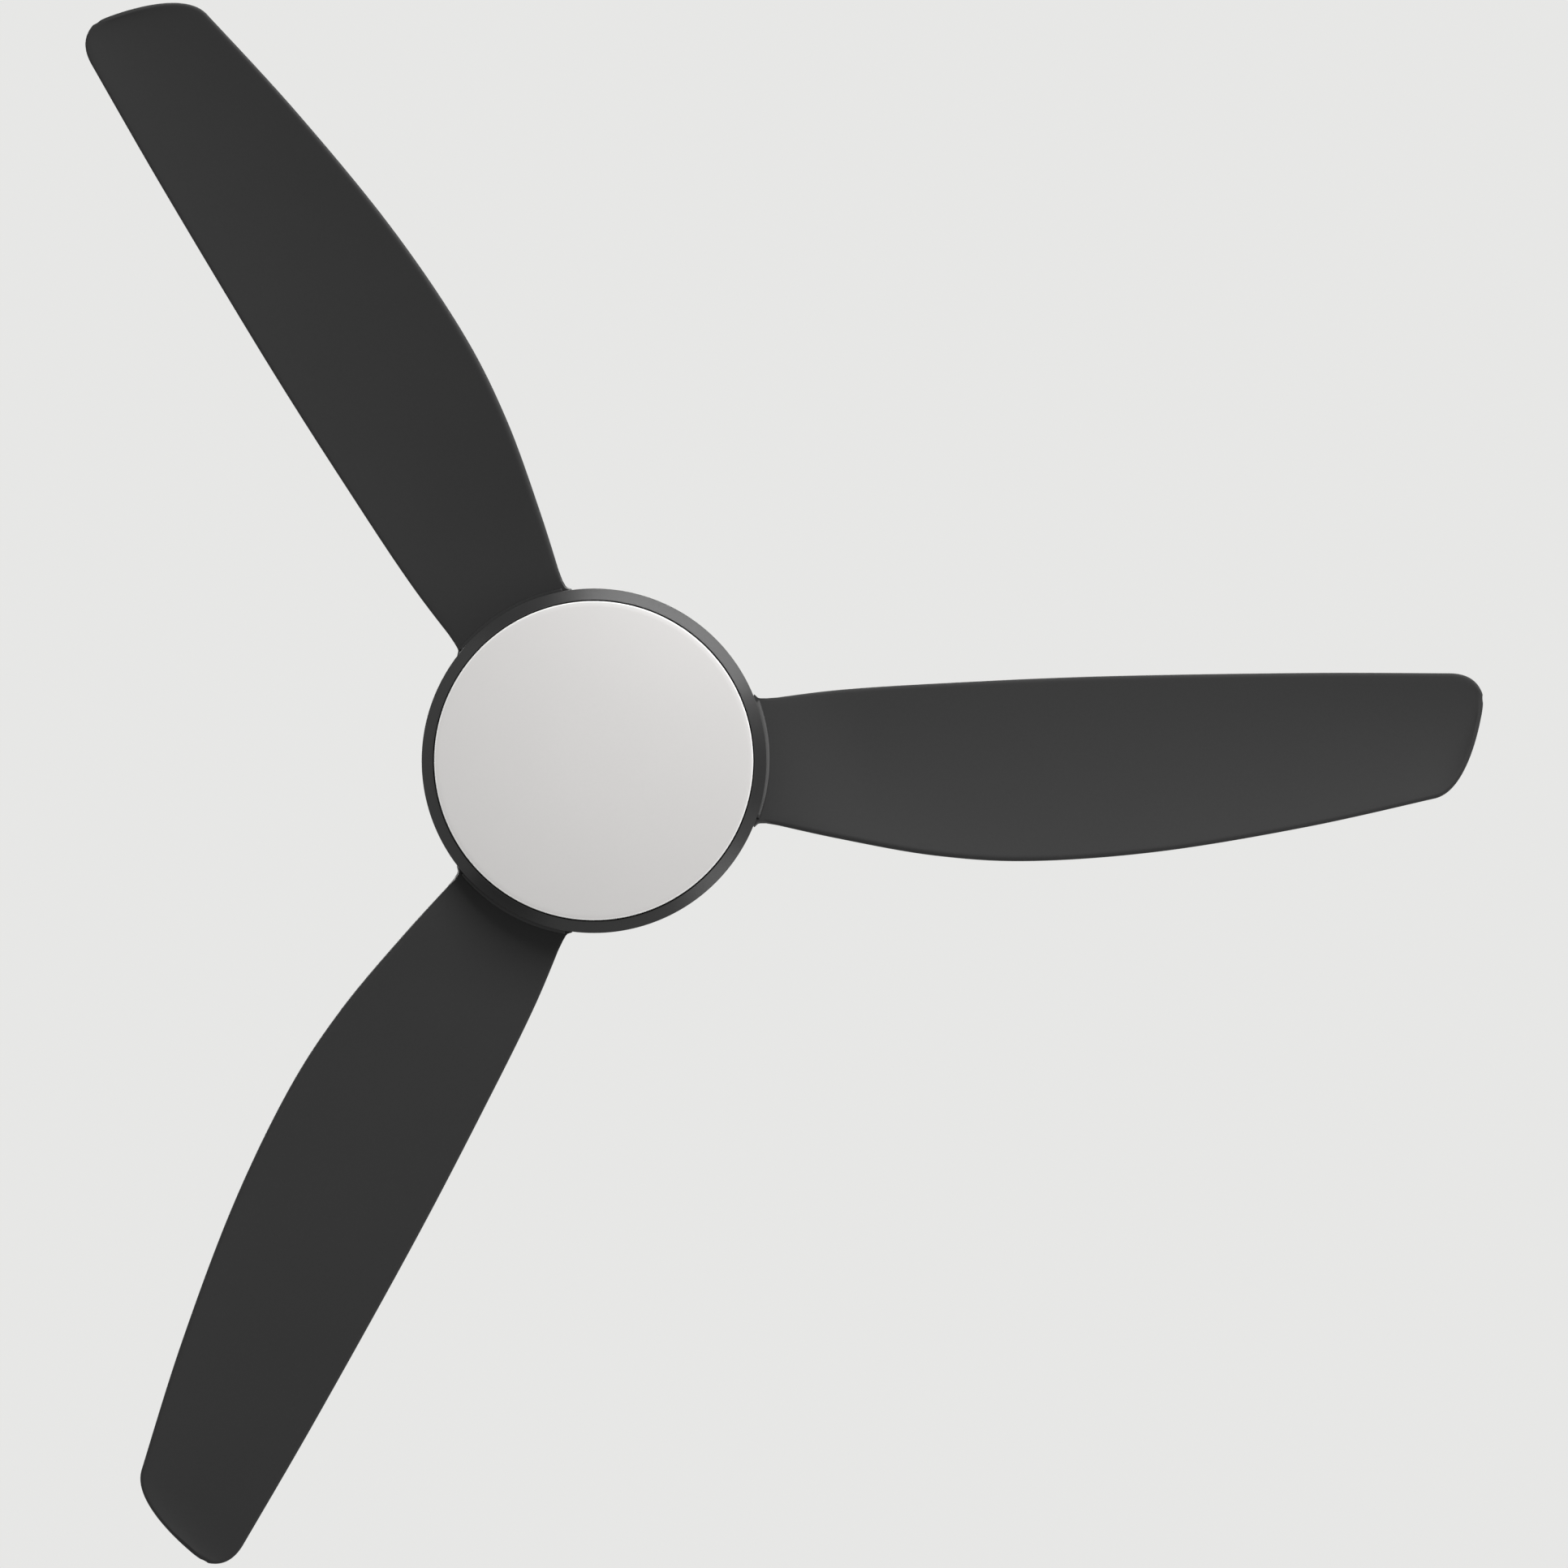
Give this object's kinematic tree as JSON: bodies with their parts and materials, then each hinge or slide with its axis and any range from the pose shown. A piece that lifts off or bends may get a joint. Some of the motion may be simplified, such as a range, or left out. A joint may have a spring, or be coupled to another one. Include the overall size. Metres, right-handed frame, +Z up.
{
  "type": "ceiling fan with light",
  "caption": "Short-rod ceiling fan: swept blades on an outer-rotor hub that turns round a flush round LED light, hung from a ball joint.",
  "frame": {"origin": "on the ceiling plane, at the middle of the top face of the ceiling bracket", "axes": "+Z up into the ceiling, along the fan axis; +X from the fan axis along the first blade; the fan hangs towards -Z"},
  "size_m": [0.9415, 1.0511, 0.2738],
  "materials": {
    "blade_plastic": "moulded ABS, fine matt texture, charcoal",
    "housing_plastic": "moulded ABS, satin, charcoal",
    "painted_steel": "satin powder coat, charcoal",
    "opal_plastic": "opal acrylic, soft sheen",
    "zinc_steel": "zinc-plated pressed steel",
    "machine_steel": "turned and plated steel",
    "cast_aluminium": "die-cast",
    "lamination": "stacked electrical steel",
    "copper_wire": "enamelled copper",
    "ferrite": "sintered ferrite",
    "nylon": "natural nylon",
    "black_case": "moulded black plastic",
    "white_metal": "white powder coat",
    "circuit_board": "white solder mask on aluminium core",
    "cable_sheath": "soft insulated sheath"
  },
  "bodies": {
    "mount": {"mounting_bracket": "zinc_steel", "canopy": "painted_steel", "canopy_trim_ring": "housing_plastic", "canopy_screw_1": "machine_steel", "canopy_screw_2": "machine_steel", "receiver_box": "black_case", "terminal_block": "nylon"},
    "ball_seat": {"ball_seat_liner": "nylon"},
    "hanger": {"hanger_ball": "black_case", "ball_cross_pin": "machine_steel", "ball_set_screw": "machine_steel", "downrod": "painted_steel", "coupling_cover": "housing_plastic", "yoke": "zinc_steel", "clevis_pin": "machine_steel", "clevis_clip": "machine_steel", "yoke_screw_1": "machine_steel", "yoke_screw_2": "machine_steel", "motor_shaft": "machine_steel", "stator_core": "lamination", "stator_winding": "copper_wire", "upper_bearing_inner_ring": "machine_steel", "lower_bearing_inner_ring": "machine_steel", "light_plate": "zinc_steel", "shaft_nut": "machine_steel", "light_pan": "white_metal", "pan_screw_1": "machine_steel", "pan_screw_2": "machine_steel", "pan_screw_3": "machine_steel", "led_driver": "black_case", "led_board": "circuit_board", "supply_lead": "cable_sheath"},
    "rotor": {"rotor_top_shell": "cast_aluminium", "rotor_bottom_shell": "cast_aluminium", "magnet_ring": "ferrite", "upper_bearing_outer_ring": "machine_steel", "lower_bearing_outer_ring": "machine_steel", "hub_top_cover": "housing_plastic", "hub_lower_ring": "housing_plastic", "blade_1": "blade_plastic", "blade_2": "blade_plastic", "blade_3": "blade_plastic", "shell_screw_1": "machine_steel", "shell_screw_2": "machine_steel", "shell_screw_3": "machine_steel", "cover_screw_1": "machine_steel", "cover_screw_2": "machine_steel", "cover_screw_3": "machine_steel", "blade_screw_1_1": "machine_steel", "blade_screw_1_2": "machine_steel", "blade_screw_1_3": "machine_steel", "blade_screw_2_1": "machine_steel", "blade_screw_2_2": "machine_steel", "blade_screw_2_3": "machine_steel", "blade_screw_3_1": "machine_steel", "blade_screw_3_2": "machine_steel", "blade_screw_3_3": "machine_steel"},
    "upper_cage": {"upper_bearing_cage": "machine_steel"},
    "lower_cage": {"lower_bearing_cage": "machine_steel"},
    "light_cover": {"diffuser": "opal_plastic"}
  },
  "joints": [
    {"name": "ball_tilt_x", "type": "hinge", "parent": "mount", "child": "ball_seat", "pos_m": [0, 0, -0.042], "axis": [1, 0, 0], "range_deg": [-8, 8]},
    {"name": "ball_tilt_y", "type": "hinge", "parent": "ball_seat", "child": "hanger", "pos_m": [0, 0, -0.042], "axis": [0, 1, 0], "range_deg": [-8, 8]},
    {"name": "rotor_spin", "type": "hinge", "parent": "hanger", "child": "rotor", "pos_m": [0, 0, -0.1858], "axis": [0, 0, 1], "continuous": true},
    {"name": "upper_cage_spin", "type": "hinge", "parent": "hanger", "child": "upper_cage", "pos_m": [0, 0, -0.1669], "axis": [0, 0, 1], "continuous": true},
    {"name": "lower_cage_spin", "type": "hinge", "parent": "hanger", "child": "lower_cage", "pos_m": [0, 0, -0.2047], "axis": [0, 0, 1], "continuous": true},
    {"name": "diffuser_twist", "type": "hinge", "parent": "hanger", "child": "light_cover", "pos_m": [0, 0, -0.26], "axis": [0, 0, 1], "range_deg": [0, 15]}
  ],
  "couplings": [
    {"joint": "upper_cage_spin", "follows": "rotor_spin", "ratio": 0.6},
    {"joint": "lower_cage_spin", "follows": "rotor_spin", "ratio": 0.6}
  ]
}
